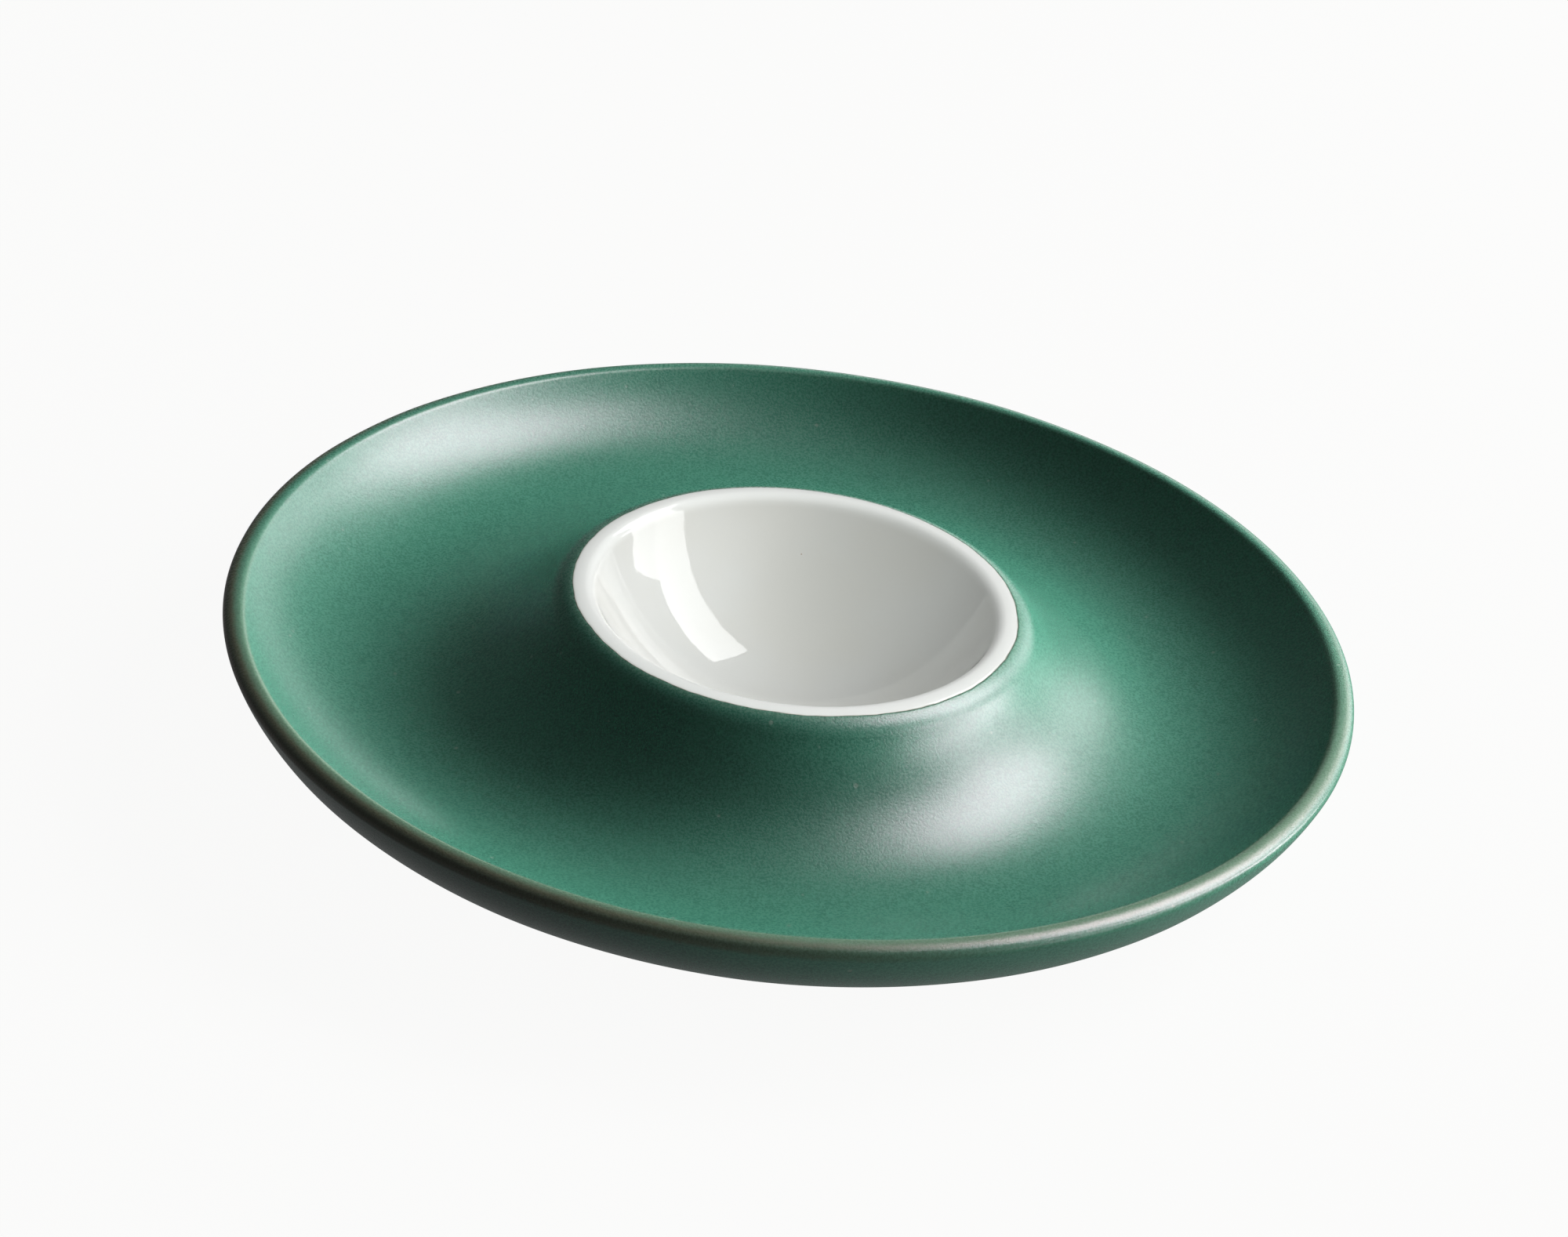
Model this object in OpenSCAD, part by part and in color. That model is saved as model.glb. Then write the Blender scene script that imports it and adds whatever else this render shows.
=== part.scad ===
// Egg plate: a round stoneware plate with a shallow egg cup raised in its middle.
// The clay is one piece. It carries three coats of glaze: white in the cup and over its lip,
// green over the plate and its outside, and green on the underside within the foot ring.
// Everything is turned about the Z axis. Z is 0 on the table, and all sizes are in millimetres.

/* [Plate] */
// Diameter over the rim
plate_d = 130; // [124:1:140]
// Thickness of the rounded rim
rim_t = 3.1; // [2.4:0.1:3.8]
// Height of the rim's top above the lowest ring of the floor
rim_rise = 7.7; // [6.5:0.1:9.5]
// Width from the rim's outside in to the lowest ring of the floor
rim_run = 18.2; // [16:0.1:20]
// Radius of the outer wall's curve, below the rim
belly_r = 16.2; // [13:0.1:19]
// Thickness of the floor and of the cup's wall, glaze included
wall_t = 3.9; // [3.2:0.1:4.6]

/* [Egg cup] */
// Diameter of the cup along the top of its lip
lip_d = 48.6; // [44:0.2:52]
// Radius of the lip's inner edge
lip_edge_r = 1.5; // [1:0.05:2]
// Radius of the shoulder outside the lip
lip_shoulder_r = 4.5; // [3:0.1:6]
// Depth of the cup below the top of its lip
cup_depth = 14; // [12:0.1:16]
// Gap between the cup's underside and the table
cup_clear = 0.8; // [0.4:0.1:1.6]
// Radius at the top of the hollow ring under the lip
hollow_r = 3; // [2:0.1:4]

/* [Foot ring] */
// Height of the floor's underside above the table
foot_h = 3.5; // [2.6:0.1:4.4]
// Width from the rim's outside in to the foot
foot_run = 21; // [19:0.1:24]
// Width of the foot at the table
foot_w = 3.2; // [2.6:0.1:4.5]
// Lean of the foot's sides, in degrees from upright
foot_draft = 14; // [4:1:20]
// Radius of the foot's lower edges
foot_edge_r = 0.8; // [0.4:0.05:1.1]
// Radius where the foot's sides meet the underside
foot_fillet_r = 1.6; // [0.8:0.1:2]
// Length of bare clay on the sides of the foot
foot_bare = 1.3; // [1:0.1:1.6]

/* [Glaze] */
// Thickness of the coats of glaze
glaze_t = 0.35; // [0.2:0.05:0.45]
// How far the white glaze runs out past the top of the lip
white_lap = 1.15; // [0.5:0.05:2]

/* [Hidden] */
$fn = 144;

// How far a straight piece of an arc may lie off the true curve
arc_bow = 0.01;
// Points nearer than this are one point
same_point = 0.0001;

function unit(angle) = [cos(angle), sin(angle)];
function angle_to(from, to) = atan2(to.y - from.y, to.x - from.x);

// Radius of a hollow curve that is level at one end and, run along and rise up from there,
// meets the circle of radius r about that point without a corner
function sweep_r(run, rise, r) = (run * run + rise * rise - r * r) / (2 * (rise + r));

// The lower of the two points that lie dp from p and dq from q
function lower_meet(p, dp, q, dq) =
    let (gap = norm(q - p))
    let (along = (gap * gap + dp * dp - dq * dq) / (2 * gap))
    let (down = sqrt(dp * dp - along * along))
    let (way = (q - p) / gap)
    p + along * way + down * [way.y, -way.x];

// How far a point at p moves along the direction way until it is dist from c, on the near side
function slide(p, way, c, dist) =
    let (back = (p - c) * way)
    -back - sqrt(back * back - (p - c) * (p - c) + dist * dist);

// An arc is [centre, radius, facing at its start, facing at its end]. Its facing is the angle
// of the line that points straight out of the surface, and a hollow arc has a radius below zero,
// so that sinking the surface by one depth takes that depth off every radius.
function arc_points(arc, sink) =
    let (step = 2 * acos(1 - arc_bow / abs(arc[1])))
    let (steps = ceil(abs(arc[3] - arc[2]) / step))
    [for (i = [0:steps]) arc[0] + (arc[1] - sink) * unit(arc[2] + (arc[3] - arc[2]) * i / steps)];
function distinct(points) =
    [for (i = [0:len(points) - 1]) if (i == 0 || norm(points[i] - points[i - 1]) > same_point) points[i]];
function trace(arcs, sink) = distinct([for (arc = arcs) each arc_points(arc, sink)]);
function reversed(points) = [for (i = [len(points) - 1:-1:0]) points[i]];

// Heights
floor_h = foot_h + wall_t;
rim_h = floor_h + rim_rise;
cup_h = cup_clear + wall_t + cup_depth;

// Radii of the main rings
rim_r = rim_t / 2;
well_r = plate_d / 2 - rim_run;
lip_r = lip_d / 2;

// Centres of the rounded edges
rim_c = [plate_d / 2 - rim_r, rim_h - rim_r];
edge_c = [lip_r, cup_h - lip_edge_r];
shoulder_c = [lip_r, cup_h - lip_shoulder_r];

// The bowl of the cup, and the two hollow curves that meet level at the well
bowl_r = sweep_r(edge_c.x, edge_c.y - (cup_h - cup_depth), lip_edge_r);
bowl_c = [0, cup_h - cup_depth + bowl_r];
flare_r = sweep_r(well_r - shoulder_c.x, shoulder_c.y - floor_h, lip_shoulder_r);
flare_c = [well_r, floor_h + flare_r];
sweep_rim_r = sweep_r(rim_c.x - well_r, rim_c.y - floor_h, rim_r);
sweep_c = [well_r, floor_h + sweep_rim_r];

// The outer wall, which leaves the rim without a corner and ends level with the floor's underside
belly_drop = rim_c.y - foot_h - belly_r;
belly_c = [rim_c.x - sqrt(pow(belly_r - rim_r, 2) - belly_drop * belly_drop), foot_h + belly_r];

// The underside of the flare and of the cup, one wall below their upper faces
flare_under_r = flare_r + wall_t;
cup_under_r = bowl_r + wall_t;
hollow_c = lower_meet(bowl_c, cup_under_r + hollow_r, flare_c, flare_under_r + hollow_r);

// The foot: corners of the clay on the table, and the ways that its sides run up and face
foot_out = [plate_d / 2 - foot_run, 0];
foot_in = foot_out - [foot_w, 0];
out_way = unit(90 - foot_draft);
in_way = unit(90 + foot_draft);
out_face = unit(-foot_draft);
in_face = unit(180 + foot_draft);
edge_up = foot_edge_r * (1 - sin(foot_draft)) / cos(foot_draft);
out_edge_c = foot_out + edge_up * out_way - foot_edge_r * out_face;
in_edge_c = foot_in + edge_up * in_way - foot_edge_r * in_face;
fillet_off = glaze_t + foot_fillet_r;
fillet_up = (foot_h - foot_fillet_r + fillet_off * sin(foot_draft)) / cos(foot_draft);
out_fillet_c = foot_out + fillet_off * out_face + fillet_up * out_way;
in_start = foot_in + fillet_off * in_face;
in_fillet_c = in_start + slide(in_start, in_way, flare_c, flare_under_r + foot_fillet_r) * in_way;

// Facings at which one arc hands over to the next
bowl_facing = angle_to(edge_c, bowl_c);
white_facing = acos(white_lap / lip_shoulder_r);
flare_facing = angle_to(shoulder_c, flare_c);
sweep_facing = angle_to(rim_c, sweep_c);
belly_facing = angle_to(belly_c, rim_c);
in_fillet_facing = angle_to(flare_c, in_fillet_c);
hollow_out_facing = angle_to(flare_c, hollow_c);
hollow_in_facing = angle_to(bowl_c, hollow_c);

// The section of the plate as glazed, from the cup's middle out over the rim and back underneath
white_arcs = [
    [bowl_c, -bowl_r, 90, bowl_facing],
    [edge_c, lip_edge_r, bowl_facing, 90],
    [shoulder_c, lip_shoulder_r, 90, white_facing],
];
green_arcs = [
    [shoulder_c, lip_shoulder_r, white_facing, flare_facing],
    [flare_c, -flare_r, flare_facing, 90],
    [sweep_c, -sweep_rim_r, 90, sweep_facing],
    [rim_c, rim_r, sweep_facing, 90],
    [rim_c, rim_r, 90, 0],
    [rim_c, rim_r, 0, belly_facing],
    [belly_c, belly_r, belly_facing, -90],
    [out_fillet_c, -foot_fillet_r, -90, -foot_draft],
];
// The bare foot is clay only. Its radii hold the glaze that is taken off them again.
foot_arcs = [
    [out_edge_c, foot_edge_r + glaze_t, -foot_draft, -90],
    [in_edge_c, foot_edge_r + glaze_t, -90, foot_draft - 180],
];
base_arcs = [
    [in_fillet_c, -foot_fillet_r, foot_draft - 180, in_fillet_facing],
    [flare_c, flare_under_r, in_fillet_facing, hollow_out_facing],
    [hollow_c, -hollow_r, hollow_out_facing, hollow_in_facing],
    [bowl_c, cup_under_r, hollow_in_facing, -90],
];

// Where the glaze stops on a side of the foot, sunk into the coat by sink
function bare_line(corner, way, face, sink) = corner + foot_bare * way + (glaze_t - sink) * face;
function white_line(sink) = trace(white_arcs, sink);
function green_line(sink) =
    concat(trace(green_arcs, sink), [bare_line(foot_out, out_way, out_face, sink)]);
function base_line(sink) =
    concat([bare_line(foot_in, in_way, in_face, sink)], trace(base_arcs, sink));

// Turns a section about the Z axis
module turned(points) {
    rotate_extrude() polygon(points);
}

// One coat of glaze, between the glazed surface and the clay under it
module coat(glazed, clay) {
    turned(concat(glazed, reversed(clay)));
}

module stoneware_body() {
    color([0.76, 0.69, 0.58])
    turned(distinct(concat(
        trace(white_arcs, glaze_t),
        green_line(glaze_t),
        trace(foot_arcs, glaze_t),
        base_line(glaze_t)
    )));
}

module green_glaze() {
    color([0.26, 0.48, 0.40])
    coat(green_line(0), green_line(glaze_t));
}

module white_glaze() {
    color([0.90, 0.90, 0.87])
    coat(white_line(0), white_line(glaze_t));
}

module base_glaze() {
    color([0.23, 0.43, 0.36])
    coat(base_line(0), base_line(glaze_t));
}

stoneware_body();
green_glaze();
white_glaze();
base_glaze();
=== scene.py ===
"""Egg plate of glazed stoneware: clay body, white cup lining, green coat and green base coat."""
import math
import random

import bpy
from mathutils import Matrix, Vector, noise


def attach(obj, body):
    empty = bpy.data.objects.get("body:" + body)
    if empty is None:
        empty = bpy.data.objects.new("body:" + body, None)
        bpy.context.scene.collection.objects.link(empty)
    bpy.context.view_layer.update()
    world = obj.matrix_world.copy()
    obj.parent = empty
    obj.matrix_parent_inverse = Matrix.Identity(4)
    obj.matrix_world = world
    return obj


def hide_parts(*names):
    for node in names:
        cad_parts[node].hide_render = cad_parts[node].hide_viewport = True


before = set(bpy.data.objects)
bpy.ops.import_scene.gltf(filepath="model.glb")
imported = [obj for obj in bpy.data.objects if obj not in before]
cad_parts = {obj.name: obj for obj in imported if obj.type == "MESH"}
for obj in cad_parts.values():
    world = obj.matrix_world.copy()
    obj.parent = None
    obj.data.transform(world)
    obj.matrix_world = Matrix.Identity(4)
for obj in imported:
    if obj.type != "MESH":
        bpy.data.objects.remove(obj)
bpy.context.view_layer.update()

MM = 0.001
TURN = 2 * math.pi

# Sizes of the plate, in millimetres and degrees
PLATE_D = 130.0  # diameter over the rim
RIM_IN_W = 1.7  # from the rim's outside in to its crest
RIM_EDGE_R = 1.0  # radius inside the crest
RIM_TOP_R = 2.4  # radius outside the crest
RIM_SHOULDER_R = 0.9  # radius of the rim's outer turn
RIM_RISE = 7.66  # from the lowest ring of the floor up to the crest
RIM_RUN = 18.2  # from the rim's outside in to the lowest ring of the floor
BELLY_R = 15.7  # radius of the outer wall's curve
WALL_T = 3.9  # thickness of the floor and of the cup's wall, glaze included
LIP_D = 48.6  # diameter along the top of the cup's lip
LIP_EDGE_R = 1.5  # radius of the lip's inner edge
LIP_SHOULDER_R = 4.5  # radius of the shoulder outside the lip
CUP_DEPTH = 14.0  # from the top of the lip down to the bottom of the cup
CUP_CLEAR = 0.8  # between the cup's underside and the table
HOLLOW_R = 3.0  # radius at the top of the hollow ring under the lip
FOOT_H = 3.5  # height of the floor's underside above the table
FOOT_RUN = 21.0  # from the rim's outside in to the foot
FOOT_W = 3.2  # width of the foot at the table
FOOT_DRAFT = 14.0  # lean of the foot's sides from upright
FOOT_EDGE_R = 0.8  # radius of the foot's lower edges
FOOT_FILLET_R = 1.6  # radius where the foot's sides meet the underside
FOOT_BARE = 1.3  # length of bare clay on the sides of the foot
GLAZE_T = 0.35  # thickness of a coat of glaze
WHITE_LAP = 1.28  # how far the white runs out past the top of the lip

# How deep a coat of glaze bites into the clay, so that no slit shows beside it
BITE = 0.05
# Depth and half width of the fine groove where white and green meet
GROOVE_DEPTH = 0.03
GROOVE_W = 0.2
# Length over which a coat thins out to its end on the foot
END_W = 0.7
# How far the marks that tell a point's distance from an edge reach
REACH = 9.0
# Hand work: the fired form is never quite even, but the foot stands flat up to a small height
UNEVEN = 0.05
UNEVEN_SCALE = 70.0
EVEN_BELOW = 1.5

# Steps around the plate, and along the straight ends of the coats on the foot
AROUND = 360
END_STEPS = 12
# On the lip's shoulder, the points of both coats lie close together beside their border:
# distances from it, more of them in the green, and even steps over what is left of either coat
BESIDE_BORDER = [0.0, 0.05, 0.1, 0.15, 0.2, 0.25, 0.3, 0.4]
GREEN_BESIDE = BESIDE_BORDER + [0.55, 0.75]
GREEN_STEPS = 12
WHITE_STEPS = 6
# Points nearer to the axis than this lie on it
ON_AXIS = 1e-6
# Edges that turn by more than this look sharp
SHARP_TURN = math.radians(50)


# The section of the plate

def unit(angle):
    """Direction at an angle in degrees."""
    return Vector((math.cos(math.radians(angle)), math.sin(math.radians(angle))))


def angle_to(start, end):
    """Angle in degrees of the way from start to end."""
    way = end - start
    return math.degrees(math.atan2(way.y, way.x))


def sweep_radius(run, rise, radius):
    """Radius of a hollow curve that is level at one end and meets a circle without a corner.

    The middle of the circle lies run along and rise up from the level end.
    """
    return (run * run + rise * rise - radius * radius) / (2 * (rise + radius))


def lower_meet(p, dp, q, dq):
    """The lower of the two points that lie dp from p and dq from q."""
    gap = (q - p).length
    along = (gap * gap + dp * dp - dq * dq) / (2 * gap)
    down = math.sqrt(dp * dp - along * along)
    way = (q - p) / gap
    return p + along * way + down * Vector((way.y, -way.x))


def slide(p, way, centre, dist):
    """How far p moves along way until it is dist from centre, on the near side."""
    back = (p - centre).dot(way)
    return -back - math.sqrt(back * back - (p - centre).length_squared + dist * dist)


def arc(centre, radius, start, end, steps):
    """Points of an arc as (place, facing); a hollow arc has a radius below zero."""
    turns = [start + (end - start) * i / steps for i in range(steps + 1)]
    return [(centre + radius * unit(turn), turn) for turn in turns]


def straight(start, end, facing, steps):
    """Points of a straight run as (place, facing)."""
    return [(start.lerp(end, i / steps), facing) for i in range(steps + 1)]


def joined(*runs):
    """Joins runs of points that share their end points."""
    points = list(runs[0])
    for run in runs[1:]:
        points += run[1:]
    return points


def every(step, run):
    """One point in so many of a run, and always its last."""
    picked = run[::step]
    return picked if picked[-1] is run[-1] else picked + [run[-1]]


def lengths(points):
    """Length along a run of points, from its first point."""
    total = [0.0]
    for (before, _), (after, _) in zip(points, points[1:]):
        total.append(total[-1] + (after - before).length)
    return total


def sunk(point, depth):
    """Place of a point that is sunk into the surface by a depth."""
    place, facing = point
    return place - depth * unit(facing)


# Heights and radii of the main rings
FLOOR_H = FOOT_H + WALL_T
RIM_H = FLOOR_H + RIM_RISE
CUP_H = CUP_CLEAR + WALL_T + CUP_DEPTH
WELL_R = PLATE_D / 2 - RIM_RUN
LIP_R = LIP_D / 2

# The rim's crest has three radii, which hand over to each other without a corner
RIM_TURN = math.degrees(math.acos((RIM_SHOULDER_R - RIM_IN_W) / (RIM_SHOULDER_R - RIM_TOP_R)))
RIM_TOP_C = Vector((PLATE_D / 2 - RIM_IN_W, RIM_H - RIM_TOP_R))
RIM_EDGE_C = Vector((PLATE_D / 2 - RIM_IN_W, RIM_H - RIM_EDGE_R))
RIM_SHOULDER_C = RIM_TOP_C - (RIM_SHOULDER_R - RIM_TOP_R) * unit(RIM_TURN)

# The lip, the bowl of the cup, and the two hollow curves that meet level at the well
EDGE_C = Vector((LIP_R, CUP_H - LIP_EDGE_R))
SHOULDER_C = Vector((LIP_R, CUP_H - LIP_SHOULDER_R))
BOWL_R = sweep_radius(EDGE_C.x, EDGE_C.y - (CUP_H - CUP_DEPTH), LIP_EDGE_R)
BOWL_C = Vector((0, CUP_H - CUP_DEPTH + BOWL_R))
FLARE_R = sweep_radius(WELL_R - SHOULDER_C.x, SHOULDER_C.y - FLOOR_H, LIP_SHOULDER_R)
FLARE_C = Vector((WELL_R, FLOOR_H + FLARE_R))
SWEEP_R = sweep_radius(RIM_EDGE_C.x - WELL_R, RIM_EDGE_C.y - FLOOR_H, RIM_EDGE_R)
SWEEP_C = Vector((WELL_R, FLOOR_H + SWEEP_R))

# The outer wall, and the underside of the flare and of the cup one wall below their upper faces
BELLY_DROP = RIM_SHOULDER_C.y - FOOT_H - BELLY_R
BELLY_IN = math.sqrt((BELLY_R - RIM_SHOULDER_R) ** 2 - BELLY_DROP ** 2)
BELLY_C = Vector((RIM_SHOULDER_C.x - BELLY_IN, FOOT_H + BELLY_R))
FLARE_UNDER_R = FLARE_R + WALL_T
CUP_UNDER_R = BOWL_R + WALL_T
HOLLOW_C = lower_meet(BOWL_C, CUP_UNDER_R + HOLLOW_R, FLARE_C, FLARE_UNDER_R + HOLLOW_R)

# The foot: corners of the clay on the table, and the ways that its sides run up and face
FOOT_OUT = Vector((PLATE_D / 2 - FOOT_RUN, 0))
FOOT_IN = FOOT_OUT - Vector((FOOT_W, 0))
OUT_WAY = unit(90 - FOOT_DRAFT)
IN_WAY = unit(90 + FOOT_DRAFT)
OUT_FACE = unit(-FOOT_DRAFT)
IN_FACE = unit(180 + FOOT_DRAFT)
SLOPE = math.radians(FOOT_DRAFT)
EDGE_UP = FOOT_EDGE_R * (1 - math.sin(SLOPE)) / math.cos(SLOPE)
OUT_EDGE_C = FOOT_OUT + EDGE_UP * OUT_WAY - FOOT_EDGE_R * OUT_FACE
IN_EDGE_C = FOOT_IN + EDGE_UP * IN_WAY - FOOT_EDGE_R * IN_FACE
FILLET_OFF = GLAZE_T + FOOT_FILLET_R
FILLET_UP = (FOOT_H - FOOT_FILLET_R + FILLET_OFF * math.sin(SLOPE)) / math.cos(SLOPE)
OUT_FILLET_C = FOOT_OUT + FILLET_OFF * OUT_FACE + FILLET_UP * OUT_WAY
IN_START = FOOT_IN + FILLET_OFF * IN_FACE
IN_UP = slide(IN_START, IN_WAY, FLARE_C, FLARE_UNDER_R + FOOT_FILLET_R)
IN_FILLET_C = IN_START + IN_UP * IN_WAY

# Facings at which one arc hands over to the next
BOWL_FACING = angle_to(EDGE_C, BOWL_C)
WHITE_FACING = math.degrees(math.acos(WHITE_LAP / LIP_SHOULDER_R))
FLARE_FACING = angle_to(SHOULDER_C, FLARE_C)
SWEEP_FACING = angle_to(RIM_EDGE_C, SWEEP_C)
BELLY_FACING = angle_to(BELLY_C, RIM_SHOULDER_C)
OUT_FACING = -FOOT_DRAFT
IN_FACING = FOOT_DRAFT - 180
IN_FILLET_FACING = angle_to(FLARE_C, IN_FILLET_C)
HOLLOW_OUT_FACING = angle_to(FLARE_C, HOLLOW_C)
HOLLOW_IN_FACING = angle_to(BOWL_C, HOLLOW_C)

# The runs of the section, from the cup's middle out over the rim and back underneath
BOWL = arc(BOWL_C, -BOWL_R, 90, BOWL_FACING, steps=56)
LIP = arc(EDGE_C, LIP_EDGE_R, BOWL_FACING, 90, steps=18)
FLARE = arc(FLARE_C, -FLARE_R, FLARE_FACING, 90, steps=40)
SWEEP = arc(SWEEP_C, -SWEEP_R, 90, SWEEP_FACING, steps=34)
RIM_IN = arc(RIM_EDGE_C, RIM_EDGE_R, SWEEP_FACING, 90, steps=16)
RIM_OUT = joined(
    arc(RIM_TOP_C, RIM_TOP_R, 90, RIM_TURN, steps=9),
    arc(RIM_SHOULDER_C, RIM_SHOULDER_R, RIM_TURN, 0, steps=21),
    arc(RIM_SHOULDER_C, RIM_SHOULDER_R, 0, BELLY_FACING, steps=9),
)
BELLY = arc(BELLY_C, BELLY_R, BELLY_FACING, -90, steps=34)
OUT_FILLET = arc(OUT_FILLET_C, -FOOT_FILLET_R, -90, OUT_FACING, steps=12)
IN_FILLET = arc(IN_FILLET_C, -FOOT_FILLET_R, IN_FACING, IN_FILLET_FACING, steps=12)
FLARE_UNDER = arc(FLARE_C, FLARE_UNDER_R, IN_FILLET_FACING, HOLLOW_OUT_FACING, steps=26)
HOLLOW = arc(HOLLOW_C, -HOLLOW_R, HOLLOW_OUT_FACING, HOLLOW_IN_FACING, steps=16)
CUP_UNDER = arc(BOWL_C, CUP_UNDER_R, HOLLOW_IN_FACING, -90, steps=44)
TO_CREST = joined(FLARE, SWEEP, RIM_IN)
FROM_CREST = joined(RIM_OUT, BELLY, OUT_FILLET)


# Lines that wander around the plate, as poured and wiped glaze does

def wander(seed, size, orders):
    """A seeded sum of waves around the plate, in millimetres."""
    rng = random.Random(seed)
    waves = [(order, size / math.sqrt(order), rng.uniform(0, TURN)) for order in orders]

    def at(around):
        return sum(height * math.sin(order * around + start) for order, height, start in waves)
    return at


border_wander = wander(seed=11, size=0.09, orders=(2, 3, 5, 9, 14, 23, 37, 61, 83))
outer_end_wander = wander(seed=23, size=0.35, orders=(2, 3, 5, 8, 13, 21, 34, 55))
inner_end_wander = wander(seed=37, size=0.35, orders=(2, 3, 4, 7, 12, 19, 31, 52))


def border_facing(around):
    """Facing of the lip's shoulder where white and green meet."""
    return WHITE_FACING - math.degrees(border_wander(around) / LIP_SHOULDER_R)


def shoulder_from(border, end, beside, steps):
    """Points of the lip's shoulder from the border to another facing."""
    length = math.radians(abs(end - border)) * LIP_SHOULDER_R
    last = beside[-1]
    gaps = beside + [last + (length - last) * i / steps for i in range(1, steps + 1)]
    turns = [border + (end - border) * (gap / length) for gap in gaps]
    return [(SHOULDER_C + LIP_SHOULDER_R * unit(turn), turn) for turn in turns]


def outer_end(up=0.0):
    """Where the green coat stops on the outside of the foot, moved up by a wander."""
    return FOOT_OUT + (FOOT_BARE + up) * OUT_WAY + GLAZE_T * OUT_FACE


def inner_end(up=0.0):
    """Where the base coat stops on the inside of the foot, moved up by a wander."""
    return FOOT_IN + (FOOT_BARE + up) * IN_WAY + GLAZE_T * IN_FACE


def clamped(value, low=0.0, high=1.0):
    return max(low, min(high, value))


def groove(gap):
    """Depth of the groove at a distance from the border."""
    part = clamped(gap / GROOVE_W)
    return GROOVE_DEPTH * (1 - part * part * (3 - 2 * part))


def end_depth(gap):
    """How far a coat's surface lies below its full height, near its rounded end."""
    return GLAZE_T * (1 - math.sqrt(1 - (1 - clamped(gap / END_W)) ** 2))


# Each section below is the closed outline of a piece at one angle around the plate: points as
# (radius, height, marks). The marks are distances along the surface, in millimetres, from the
# crest of the rim or lip, from the border of white and green, and from a coat's end on the foot.
MARKS = ("crest_gap", "border_gap", "end_gap")


def coat_section(points, depths, marks):
    """A coat of glaze: its surface out, and its back in the clay."""
    face = [(*sunk(p, d), m) for p, d, m in zip(points, depths, marks)]
    back = [(*sunk(p, GLAZE_T + BITE), m) for p, m in zip(points, marks)]
    return face + back[::-1]


def green_section(around):
    shoulder = shoulder_from(border_facing(around), FLARE_FACING, GREEN_BESIDE, GREEN_STEPS)
    end = outer_end(outer_end_wander(around))
    to_crest = joined(shoulder, TO_CREST)
    side = straight(FROM_CREST[-1][0], end, OUT_FACING, END_STEPS)
    points = joined(to_crest, FROM_CREST, side)
    along = lengths(points)
    crest = along[len(to_crest) - 1]
    depths = [groove(gap) + end_depth(along[-1] - gap) for gap in along]
    marks = [(gap - crest, gap, along[-1] - gap) for gap in along]
    return coat_section(points, depths, marks)


def white_section(around):
    shoulder = shoulder_from(border_facing(around), 90, BESIDE_BORDER, WHITE_STEPS)
    to_top = joined(BOWL, LIP)
    points = joined(to_top, shoulder[::-1])
    along = lengths(points)
    lip_top = along[len(to_top) - 1]
    depths = [groove(along[-1] - gap) for gap in along]
    marks = [(gap - lip_top, along[-1] - gap, REACH) for gap in along]
    return coat_section(points, depths, marks)


def base_section(around):
    side = straight(inner_end(inner_end_wander(around)), IN_FILLET[0][0], IN_FACING, END_STEPS)
    points = joined(side, IN_FILLET, FLARE_UNDER, HOLLOW, CUP_UNDER)
    along = lengths(points)
    depths = [end_depth(gap) for gap in along]
    marks = [(REACH, REACH, gap) for gap in along]
    return coat_section(points, depths, marks)


def clay_line():
    """The clay's outline as glazed. Only the foot is bare, so the rest takes fewer points."""
    glazed_edge_r = FOOT_EDGE_R + GLAZE_T
    foot_out = arc(OUT_EDGE_C, glazed_edge_r, OUT_FACING, -90, steps=12)
    foot_in = arc(IN_EDGE_C, glazed_edge_r, -90, IN_FACING, steps=12)
    return joined(
        every(3, BOWL),
        every(3, LIP),
        arc(SHOULDER_C, LIP_SHOULDER_R, 90, FLARE_FACING, steps=10),
        every(4, FLARE),
        every(4, SWEEP),
        every(4, RIM_IN),
        every(3, RIM_OUT),
        every(4, BELLY),
        every(2, OUT_FILLET),
        straight(OUT_FILLET[-1][0], outer_end(), OUT_FACING, steps=4),
        straight(outer_end(), foot_out[0][0], OUT_FACING, steps=8),
        foot_out,
        straight(foot_out[-1][0], foot_in[0][0], -90, steps=16),
        foot_in,
        straight(foot_in[-1][0], inner_end(), IN_FACING, steps=8),
        straight(inner_end(), IN_FILLET[0][0], IN_FACING, steps=4),
        every(2, IN_FILLET),
        every(4, FLARE_UNDER),
        every(2, HOLLOW),
        every(4, CUP_UNDER),
    )


CLAY_LINE = clay_line()


def clay_section(around):
    ends = outer_end(outer_end_wander(around)), inner_end(inner_end_wander(around))
    section = []
    for point in CLAY_LINE:
        place = sunk(point, GLAZE_T)
        gap = min((place - end).length for end in ends) - GLAZE_T
        section.append((*place, (REACH, REACH, max(0.0, gap))))
    return section


# Meshes

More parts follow.
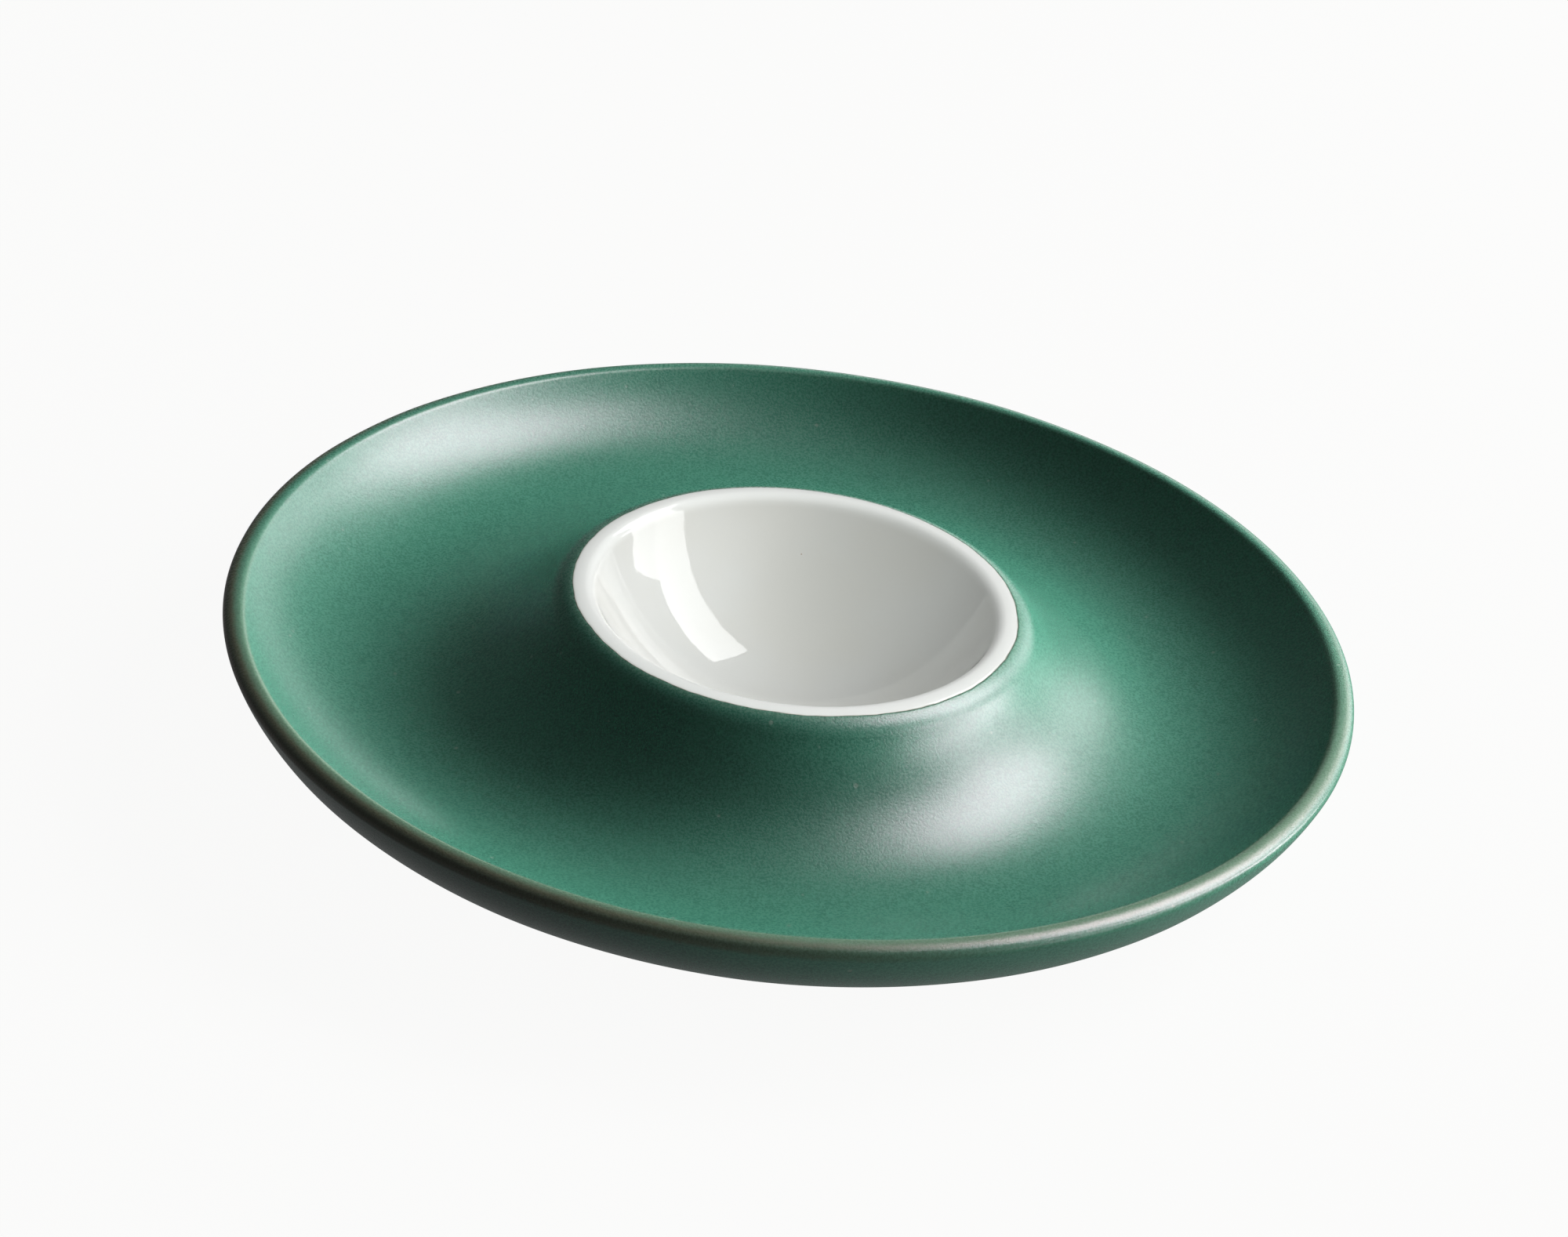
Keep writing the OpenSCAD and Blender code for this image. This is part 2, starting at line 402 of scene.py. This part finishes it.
def turned_mesh(name, sections):
    """Turns a closed section into one closed mesh; points on the axis become one point each."""
    count = len(sections[0])
    on_axis = [abs(sections[0][k][0]) < ON_AXIS for k in range(count)]
    places, marks, index = [], [], {}
    for k in range(count):
        for i in range(1 if on_axis[k] else AROUND):
            radius, height, mark = sections[i][k]
            around = TURN * i / AROUND
            place = Vector((radius * math.cos(around), radius * math.sin(around), height))
            index[i, k] = len(places)
            places.append(place * MM)
            marks.append(mark)

    def at(i, k):
        return index[0 if on_axis[k] else i % AROUND, k]

    faces = []
    for k in range(count):
        after = (k + 1) % count
        if on_axis[k] and on_axis[after]:
            continue
        for i in range(AROUND):
            ring = (at(i, k), at(i, after), at(i + 1, after), at(i + 1, k))
            faces.append(tuple(dict.fromkeys(ring)))
    mesh = bpy.data.meshes.new(name)
    mesh.from_pydata(places, [], faces)
    mesh.update()
    for number, label in enumerate(MARKS):
        layer = mesh.attributes.new(label, "FLOAT", "POINT")
        values = [clamped(mark[number], -REACH, REACH) for mark in marks]
        layer.data.foreach_set("value", values)
    return mesh


def make_uneven(mesh):
    """Moves the surface in and out a little, above the foot."""
    normals = [Vector(vertex.normal) for vertex in mesh.vertices]
    for vertex, normal in zip(mesh.vertices, normals):
        if vertex.co.z > EVEN_BELOW * MM:
            vertex.co += normal * (UNEVEN * MM * noise.noise(vertex.co * UNEVEN_SCALE))


def turned_piece(name, section_at):
    mesh = turned_mesh(name, [section_at(TURN * i / AROUND) for i in range(AROUND)])
    make_uneven(mesh)
    mesh.shade_smooth()
    mesh.set_sharp_from_angle(angle=SHARP_TURN)
    piece = bpy.data.objects.new(name, mesh)
    bpy.context.scene.collection.objects.link(piece)
    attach(piece, "root")
    return piece


# Nodes

FLOAT = "NodeSocketFloat"
VECTOR = "NodeSocketVector"
# Noise stays mostly within this range, which is stretched to 0 to 1
NOISE_RANGE = (0.3, 0.7)
# Least part of the stated size that a speck has, and the part of a speck that its core takes up
SPECK_LEAST = 0.4
SPECK_CORE = 0.5


def add(tree, kind, feeds=None, **settings):
    """Adds a node with its settings; its inputs are fed with sockets or with values."""
    made = tree.nodes.new(kind)
    for key, value in settings.items():
        setattr(made, key, value)
    for key, value in (feeds or {}).items():
        if isinstance(value, bpy.types.NodeSocket):
            tree.links.new(value, made.inputs[key])
        else:
            made.inputs[key].default_value = value
    return made


def math_node(tree, operation, *values):
    return add(tree, "ShaderNodeMath", dict(enumerate(values)), operation=operation).outputs[0]


def remap(tree, value, low, high, to_low=0.0, to_high=1.0, kind="SMOOTHSTEP"):
    feeds = {"Value": value, 1: low, 2: high, 3: to_low, 4: to_high}
    return add(tree, "ShaderNodeMapRange", feeds, interpolation_type=kind).outputs[0]


def between(tree, share, low, high):
    """A value between low and high, by a share from 0 to 1."""
    return remap(tree, share, 0.0, 1.0, low, high, kind="LINEAR")


def mix(tree, share, below, above):
    feeds = {0: share, 6: below, 7: above}
    return add(tree, "ShaderNodeMix", feeds, data_type="RGBA").outputs[2]


def stain(tree, colour, mask, share, other):
    """Lays a share of another colour over a colour, within a mask."""
    return mix(tree, math_node(tree, "MULTIPLY", mask, share), colour, other)


def new_group(name, takes, gives):
    """A node group, with the sockets that it is given and those that it gives out."""
    group = bpy.data.node_groups.new(name, "ShaderNodeTree")
    for label, kind in takes:
        group.interface.new_socket(name=label, in_out="INPUT", socket_type=kind)
    for label, kind in gives:
        group.interface.new_socket(name=label, in_out="OUTPUT", socket_type=kind)
    given = group.nodes.new("NodeGroupInput").outputs
    return group, given, group.nodes.new("NodeGroupOutput").inputs


def grain_group():
    """Fine grains and broad clouds of a fired surface, each from 0 to 1."""
    takes = [("Place", VECTOR), ("Grain Scale", FLOAT), ("Cloud Scale", FLOAT)]
    group, given, out = new_group("fired_grain", takes, [("Grain", FLOAT), ("Cloud", FLOAT)])
    fine = add(group, "ShaderNodeTexNoise", {
        "Vector": given["Place"], "Scale": given["Grain Scale"], "Detail": 3.0, "Roughness": 0.75})
    broad = add(group, "ShaderNodeTexNoise", {
        "Vector": given["Place"], "Scale": given["Cloud Scale"], "Detail": 2.0, "Roughness": 0.5})
    group.links.new(remap(group, fine.outputs["Fac"], *NOISE_RANGE), out["Grain"])
    group.links.new(remap(group, broad.outputs["Fac"], *NOISE_RANGE), out["Cloud"])
    return group


def speck_group():
    """Scattered round specks: one in some of the cells."""
    takes = [("Place", VECTOR), ("Scale", FLOAT), ("Size", FLOAT), ("Share", FLOAT)]
    group, given, out = new_group("specks", takes, [("Mask", FLOAT)])
    cells = add(group, "ShaderNodeTexVoronoi", {"Vector": given["Place"], "Scale": given["Scale"]})
    pick = add(group, "ShaderNodeSeparateColor", {"Color": cells.outputs["Color"]})
    chosen = math_node(group, "LESS_THAN", pick.outputs[0], given["Share"])
    part = math_node(group, "ADD", pick.outputs[1], SPECK_LEAST)
    size = math_node(group, "MULTIPLY", given["Size"], part)
    core = math_node(group, "MULTIPLY", size, SPECK_CORE)
    spot = remap(group, cells.outputs["Distance"], size, core)
    group.links.new(math_node(group, "MULTIPLY", spot, chosen), out["Mask"])
    return group


def band_group():
    """A soft band at a distance from an edge."""
    takes = [("Gap", FLOAT), ("Middle", FLOAT), ("Half Width", FLOAT), ("Fade", FLOAT)]
    group, given, out = new_group("edge_band", takes, [("Mask", FLOAT)])
    off = math_node(group, "SUBTRACT", given["Gap"], given["Middle"])
    off = math_node(group, "ABSOLUTE", off)
    far = math_node(group, "ADD", given["Half Width"], given["Fade"])
    group.links.new(remap(group, off, far, given["Half Width"]), out["Mask"])
    return group


GRAIN = grain_group()
SPECKS = speck_group()
BAND = band_group()


def use(tree, group, **feeds):
    """Outputs of a node group; its inputs go by their names, with _ for a space."""
    named = {key.replace("_", " "): value for key, value in feeds.items()}
    return add(tree, "ShaderNodeGroup", named, node_tree=group).outputs


def band(tree, gap, middle, half_width, fade):
    return use(tree, BAND, Gap=gap, Middle=middle, Half_Width=half_width, Fade=fade)["Mask"]


def distance(tree, label):
    """A distance that the mesh carries as a mark."""
    return add(tree, "ShaderNodeAttribute", attribute_name=label).outputs["Fac"]


def ragged(tree, label, place, scale, size):
    """A distance that the mesh carries, made ragged by noise: no edge of a glaze runs true."""
    feeds = {"Vector": place, "Scale": scale, "Detail": 3.0}
    rough = add(tree, "ShaderNodeTexNoise", feeds).outputs["Fac"]
    off = math_node(tree, "MULTIPLY", math_node(tree, "SUBTRACT", rough, 0.5), size)
    return math_node(tree, "ADD", distance(tree, label), off)


def side_share(tree, place, side, reach, shares):
    """A share that rises towards one side of the plate, over a reach in millimetres."""
    feeds = {0: place, 1: side}
    along = add(tree, "ShaderNodeVectorMath", feeds, operation="DOT_PRODUCT").outputs["Value"]
    return remap(tree, along, reach[0] * MM, reach[1] * MM, *shares)


# Materials

def rgb(red, green, blue):
    return (red, green, blue, 1.0)


GREEN_DARK = rgb(0.026, 0.128, 0.085)
GREEN_LIGHT = rgb(0.060, 0.224, 0.155)
GREEN_CLOUD = rgb(0.050, 0.200, 0.134)
OLIVE = rgb(0.128, 0.208, 0.136)
CREST_BROWN = rgb(0.130, 0.090, 0.055)
SPECK_PALE = rgb(0.230, 0.330, 0.270)
LINE_BROWN = rgb(0.060, 0.040, 0.026)
BORDER_PALE = rgb(0.190, 0.280, 0.210)
BORDER_TAN = rgb(0.330, 0.260, 0.170)
WHITE = rgb(0.612, 0.617, 0.600)
# Painted light: a whiter colour for the top of the lip, standing for the light that falls on it
# more than inside the cup
PAINTED_LIP_LIGHT = rgb(0.748, 0.755, 0.738)
WHITE_WARM = rgb(0.594, 0.586, 0.548)
CLAY = rgb(0.480, 0.390, 0.290)
CLAY_DARK = rgb(0.330, 0.250, 0.175)
CLAY_FLASH = rgb(0.300, 0.150, 0.070)
# Tint of the satin sheen, which looks neutral over the green
SATIN_TINT = rgb(1.0, 0.71, 0.87)
SATIN_IOR = 1.52
GLOSS_IOR = 1.5
# Sides of the plate on which the rim shows more olive along its crest, where the glaze is thin,
# and more brown just outside it, where the glaze breaks; towards the left front, away from the
# lamps, that brown is partly painted shade
THIN_SIDE = (0.05, -1.0, 0.0)
BROWN_SHADE_SIDE = (-0.9, -0.44, 0.0)


def new_material(name):
    material = bpy.data.materials.new(name)
    material.use_nodes = True
    tree = material.node_tree
    place = add(tree, "ShaderNodeTexCoord").outputs["Object"]
    return material, tree, tree.nodes["Principled BSDF"], place


def finish_surface(tree, shader, colour, rough, height, depth):
    """Feeds the shader a colour, a roughness and a bump that is depth millimetres deep."""
    feeds = {"Height": height, "Strength": 1.0, "Distance": depth * MM}
    bump = add(tree, "ShaderNodeBump", feeds).outputs["Normal"]
    for value, socket in ((colour, "Base Color"), (rough, "Roughness"), (bump, "Normal")):
        tree.links.new(value, shader.inputs[socket])


def green_colour(tree, place):
    """Mottled green with pale specks; returns its colour, its grains and its height."""
    grain = use(tree, GRAIN, Place=place, Grain_Scale=3400.0, Cloud_Scale=300.0)
    colour = mix(tree, grain["Grain"], GREEN_DARK, GREEN_LIGHT)
    colour = stain(tree, colour, grain["Cloud"], 0.35, GREEN_CLOUD)
    specks = use(tree, SPECKS, Place=place, Scale=900.0, Size=0.22, Share=0.035)["Mask"]
    colour = stain(tree, colour, specks, 0.7, SPECK_PALE)
    return colour, grain["Grain"], math_node(tree, "SUBTRACT", grain["Grain"], specks)


def end_stain(tree, colour, place, fade, other):
    """Another colour along a coat's end on the foot."""
    gap = ragged(tree, "end_gap", place, scale=700.0, size=0.3)
    mask = band(tree, gap, middle=0.0, half_width=0.1, fade=fade)
    return stain(tree, colour, mask, 0.7, other)


def satin_green():
    material, tree, shader, place = new_material("satin_green_glaze")
    colour, grain, height = green_colour(tree, place)
    crest = ragged(tree, "crest_gap", place, scale=900.0, size=0.5)
    thin = band(tree, crest, middle=0.1, half_width=0.75, fade=0.6)
    share = side_share(tree, place, THIN_SIDE, reach=(-25, 35), shares=(0.12, 0.8))
    colour = stain(tree, colour, thin, share, OLIVE)
    # Brown band just outside the crest: glaze breaking there, laid on more strongly towards the
    # left front as painted shade
    brown_and_shade = band(tree, crest, middle=1.5, half_width=0.5, fade=0.9)
    share = side_share(tree, place, BROWN_SHADE_SIDE, reach=(-10, 50), shares=(0.12, 0.6))
    colour = stain(tree, colour, brown_and_shade, share, CREST_BROWN)
    border = ragged(tree, "border_gap", place, scale=1200.0, size=0.35)
    pale = band(tree, border, middle=0.2, half_width=0.2, fade=0.6)
    colour = stain(tree, colour, pale, 0.2, BORDER_PALE)
    edge = band(tree, border, middle=0.0, half_width=0.05, fade=0.12)
    colour = stain(tree, colour, edge, 0.5, LINE_BROWN)
    colour = end_stain(tree, colour, place, 0.35, CREST_BROWN)
    rough = between(tree, grain, 0.25, 0.30)
    finish_surface(tree, shader, colour, rough, height, depth=0.008)
    shader.inputs["IOR"].default_value = SATIN_IOR
    shader.inputs["Specular Tint"].default_value = SATIN_TINT
    return material


def gloss_white():
    material, tree, shader, place = new_material("gloss_white_glaze")
    grain = use(tree, GRAIN, Place=place, Grain_Scale=420.0, Cloud_Scale=70.0)
    colour = stain(tree, WHITE, grain["Cloud"], 0.5, WHITE_WARM)
    # Painted light: the band over the top of the lip is made whiter than the rest of the white, as
    # if lit more
    painted_lip_light = band(tree, distance(tree, "crest_gap"), middle=0.6, half_width=1.2, fade=1.6)
    colour = mix(tree, painted_lip_light, colour, PAINTED_LIP_LIGHT)
    specks = use(tree, SPECKS, Place=place, Scale=420.0, Size=0.10, Share=0.02)["Mask"]
    colour = stain(tree, colour, specks, 0.75, CLAY_DARK)
    border = ragged(tree, "border_gap", place, scale=1200.0, size=0.15)
    edge = band(tree, border, middle=0.0, half_width=0.02, fade=0.1)
    colour = stain(tree, colour, edge, 0.4, BORDER_TAN)
    rough = between(tree, grain["Cloud"], 0.02, 0.035)
    finish_surface(tree, shader, colour, rough, grain["Grain"], depth=0.004)
    shader.inputs["IOR"].default_value = GLOSS_IOR
    return material


def base_green():
    material, tree, shader, place = new_material("base_green_glaze")
    colour, grain, height = green_colour(tree, place)
    colour = end_stain(tree, colour, place, 0.35, CREST_BROWN)
    rough = between(tree, grain, 0.36, 0.48)
    finish_surface(tree, shader, colour, rough, height, depth=0.014)
    shader.inputs["IOR"].default_value = SATIN_IOR
    return material


def bare_clay():
    material, tree, shader, place = new_material("bare_stoneware_clay")
    grain = use(tree, GRAIN, Place=place, Grain_Scale=1800.0, Cloud_Scale=160.0)
    colour = stain(tree, CLAY, grain["Grain"], 0.35, CLAY_DARK)
    specks = use(tree, SPECKS, Place=place, Scale=1100.0, Size=0.3, Share=0.08)["Mask"]
    colour = stain(tree, colour, specks, 0.8, CREST_BROWN)
    colour = end_stain(tree, colour, place, 0.7, CLAY_FLASH)
    rough = between(tree, grain["Cloud"], 0.82, 0.94)
    finish_surface(tree, shader, colour, rough, grain["Grain"], depth=0.04)
    return material


# The pieces

def dress(name, section_at, node, material):
    piece = turned_piece(name, section_at)
    piece.data.materials.append(material)
    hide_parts(node)
    return piece


body = dress("clay_body", clay_section, "stoneware_body", bare_clay())
green = dress("green_coat", green_section, "green_glaze", satin_green())
white = dress("white_lining", white_section, "white_glaze", gloss_white())
base = dress("base_coat", base_section, "base_glaze", base_green())


# Floor and room, in metres

FLOOR_HALF = 4.0
# The floor as the camera sees it, how much of that is glow, and the floor as other rays meet it
FLOOR_SEEN = rgb(1.0, 1.0, 0.995)
FLOOR_LIFT = 0.94
FLOOR_DIM = rgb(0.20, 0.19, 0.175)
# The room as the camera sees it, and as other rays meet it
ROOM_SEEN = rgb(1.0, 1.0, 1.0)
ROOM_DIM = rgb(0.95, 0.98, 1.0)
ROOM_DIM_STRENGTH = 0.07
# How much the glazes mirror of the white floor, near the plate and further off, and of the room
NEAR, FAR = 0.055, 0.095
NEAR_MIRRORED = 0.22
FAR_MIRRORED = 0.13
ROOM_MIRRORED = 0.03


def shows(tree, mirrored):
    """Share of the white ground that a ray sees: all of it straight, part of it in a glaze."""
    path = add(tree, "ShaderNodeLightPath").outputs
    direct = math_node(tree, "MAXIMUM", path["Is Camera Ray"], path["Is Transmission Ray"])
    glossy = math_node(tree, "MULTIPLY", path["Is Glossy Ray"], mirrored)
    return math_node(tree, "MAXIMUM", direct, glossy)


def mix_shader(tree, share, below, above):
    return add(tree, "ShaderNodeMixShader", {0: share, 1: below, 2: above}).outputs[0]


def pale_floor():
    corners = [(-1, -1), (1, -1), (1, 1), (-1, 1)]
    places = [(x * FLOOR_HALF, y * FLOOR_HALF, 0) for x, y in corners]
    mesh = bpy.data.meshes.new("floor")
    mesh.from_pydata(places, [], [(0, 1, 2, 3)])
    ground = bpy.data.objects.new("floor", mesh)
    bpy.context.scene.collection.objects.link(ground)
    material = bpy.data.materials.new("pale_floor")
    material.use_nodes = True
    tree = material.node_tree
    tree.nodes.clear()
    place = add(tree, "ShaderNodeTexCoord").outputs["Object"]
    off = add(tree, "ShaderNodeVectorMath", {0: place}, operation="LENGTH").outputs["Value"]
    seen = shows(tree, remap(tree, off, NEAR, FAR, NEAR_MIRRORED, FAR_MIRRORED))
    paint = add(tree, "ShaderNodeBsdfDiffuse", {"Color": FLOOR_SEEN}).outputs[0]
    glow = add(tree, "ShaderNodeEmission", {"Color": FLOOR_SEEN, "Strength": 1.0}).outputs[0]
    dim = add(tree, "ShaderNodeBsdfDiffuse", {"Color": FLOOR_DIM}).outputs[0]
    bright = mix_shader(tree, FLOOR_LIFT, paint, glow)
    add(tree, "ShaderNodeOutputMaterial", {"Surface": mix_shader(tree, seen, dim, bright)})
    mesh.materials.append(material)
    return ground


def studio_world():
    world = bpy.data.worlds.new("studio")
    bpy.context.scene.world = world
    world.use_nodes = True
    tree = world.node_tree
    tree.nodes.clear()
    seen = shows(tree, ROOM_MIRRORED)
    feeds = {"Color": ROOM_DIM, "Strength": ROOM_DIM_STRENGTH}
    dim = add(tree, "ShaderNodeBackground", feeds).outputs[0]
    bright = add(tree, "ShaderNodeBackground", {"Color": ROOM_SEEN, "Strength": 1.0}).outputs[0]
    add(tree, "ShaderNodeOutputWorld", {"Surface": mix_shader(tree, seen, dim, bright)})


floor = pale_floor()
studio_world()


# Light, in metres and degrees

LOOK_AT = Vector((0, 0, 13.55)) * MM
LAMP_FAR = 0.9


def toward(around, up):
    """Direction of a lamp: around from behind the plate towards its right, up from the table."""
    around, up = math.radians(around), math.radians(up)
    flat = math.cos(up)
    return Vector((math.sin(around) * flat, math.cos(around) * flat, math.sin(up)))


def softbox(name, middle, along, span, rise, radiance, lit, mirrored, tint=(1, 1, 1)):
    """A softbox for the pieces in lit, which either mirror it or take plain light from it.

    It lies in the plane LAMP_FAR away towards middle. Span and rise tell from where to where
    it reaches along that plane and across it. Middle and along are angles around and up.
    """
    middle, along = toward(*middle), toward(*along)
    along = (along - along.dot(middle) * middle).normalized()
    across = middle.cross(along)
    lamp = bpy.data.lights.new(name, "AREA")
    lamp.shape = "RECTANGLE"
    lamp.size = span[1] - span[0]
    lamp.size_y = rise[1] - rise[0]
    lamp.energy = radiance * math.pi * lamp.size * lamp.size_y
    lamp.color = tint
    turn = Matrix((along, across, middle)).transposed().to_4x4()
    place = LOOK_AT + LAMP_FAR * middle + along * sum(span) / 2 + across * sum(rise) / 2
    thing = bpy.data.objects.new(name, lamp)
    thing.matrix_world = Matrix.Translation(place) @ turn
    thing.visible_camera = False
    thing.visible_diffuse = not mirrored
    thing.visible_glossy = mirrored
    bpy.context.scene.collection.objects.link(thing)
    group = bpy.data.collections.new(name + "_lights")
    for piece in lit:
        group.objects.link(piece)
    thing.light_linking.receiver_collection = group


# Rows of softboxes: name, middle, along, span, rise and radiance.
# The green mirrors a high softbox, a slanting strip at the right, three dim panels lower down
# and a dim backdrop.
PLATE_SHEEN = [
    ("plate_high", (65, 49), (164.5, 8), (-0.23, 0.25), (-0.30, 0.27), 15.5),
    ("plate_side", (86.5, 22), (-164, 37.8), (-0.49, 0.49), (-0.06, 0.06), 24.0),
    ("plate_gap", (66, 22.5), (156, 0), (-0.11, 0.11), (-0.09, 0.09), 5.5),
    ("plate_front", (112, 8), (202, 0), (-0.3, 0.3), (-0.12, 0.12), 3.5),
    ("plate_left", (41, 18), (131, 0), (-0.15, 0.15), (-0.14, 0.14), 4.0),
    ("plate_backdrop", (30, 6), (120, 0), (-0.55, 0.55), (-0.08, 0.12), 1.9),
]
# The white mirrors a long strip, and a panel under its right end in the same plane
STRIP_PLANE = (53.8, 44.4), (-50, 13.4)
CUP_SHEEN = [
    ("cup_strip", *STRIP_PLANE, (-1.0, 0.29), (-0.17, 0.18), 5.0),
    ("cup_panel", *STRIP_PLANE, (-0.9, -0.25), (-0.45, -0.17), 4.0),
]
# The green takes its plain light from the right, skimming, low and higher up, and from behind
PLATE_LIGHT = [
    ("plate_skim", (110, 2), (200, 0), (-0.3, 0.3), (-0.03, 0.09), 28.0),
    ("plate_key", (60, 27), (-30, 0), (-0.34, 0.34), (-0.17, 0.17), 21.5),
    ("plate_low", (80, 10), (-10, 0), (-0.22, 0.22), (-0.17, 0.17), 12.5),
    ("plate_back", (25, 46), (-65, 0), (-0.17, 0.17), (-0.17, 0.17), 5.0),
]
# The white's key light also throws the shadow on the floor. Its fill from the front is a little
# green, and two weaker ones light it from behind and from the right.
CUP_KEY = ("cup_key", (66, 36), (-45, 22), (-0.9, 0.3), (-0.15, 0.15), 6.7)
CUP_FILL = ("cup_fill", (175, 45), (-95, 0), (-0.6, 0.6), (-0.4, 0.4), 1.8)
FILL_TINT = (0.96, 1.0, 0.97)
CUP_LIGHT = [
    ("cup_back", (5, 30), (95, 0), (-0.7, 0.7), (-0.25, 0.25), 1.6),
    ("cup_side", (115, 52), (205, 0), (-0.4, 0.4), (-0.3, 0.3), 1.6),
]
GREEN_AND_CLAY = [green, body, base]

for row in PLATE_SHEEN:
    softbox(*row, lit=GREEN_AND_CLAY, mirrored=True)
for row in CUP_SHEEN:
    softbox(*row, lit=[white], mirrored=True)
for row in PLATE_LIGHT:
    softbox(*row, lit=GREEN_AND_CLAY, mirrored=False)
softbox(*CUP_KEY, lit=[white, floor], mirrored=False)
softbox(*CUP_FILL, lit=[white], mirrored=False, tint=FILL_TINT)
for row in CUP_LIGHT:
    softbox(*row, lit=[white], mirrored=False)


# Camera, fitted to the photo

CAMERA_FAR = 0.5
CAMERA_UP = math.radians(30.624)
CAMERA_ROLL = math.radians(6.794)
CAMERA_CLIP = 0.01
# Lens and sensor in millimetres, and the shift as a part of the sensor's width
LENS = 99.76
SENSOR_W = 36.0
SHIFT = (-0.005, 0.0098)


def photo_camera():
    lens = bpy.data.cameras.new("photo_camera")
    lens.lens = LENS
    lens.sensor_width = SENSOR_W
    lens.shift_x, lens.shift_y = SHIFT
    lens.clip_start = CAMERA_CLIP
    camera = bpy.data.objects.new("photo_camera", lens)
    right = Vector((1, 0, 0))
    back = Vector((0, -math.cos(CAMERA_UP), math.sin(CAMERA_UP)))
    up = back.cross(right)
    cos, sin = math.cos(CAMERA_ROLL), math.sin(CAMERA_ROLL)
    turn = Matrix((right * cos + up * sin, up * cos - right * sin, back)).transposed().to_4x4()
    camera.matrix_world = Matrix.Translation(LOOK_AT + CAMERA_FAR * back) @ turn
    bpy.context.scene.collection.objects.link(camera)
    bpy.context.scene.camera = camera


photo_camera()
bpy.context.scene.view_settings.view_transform = "Standard"
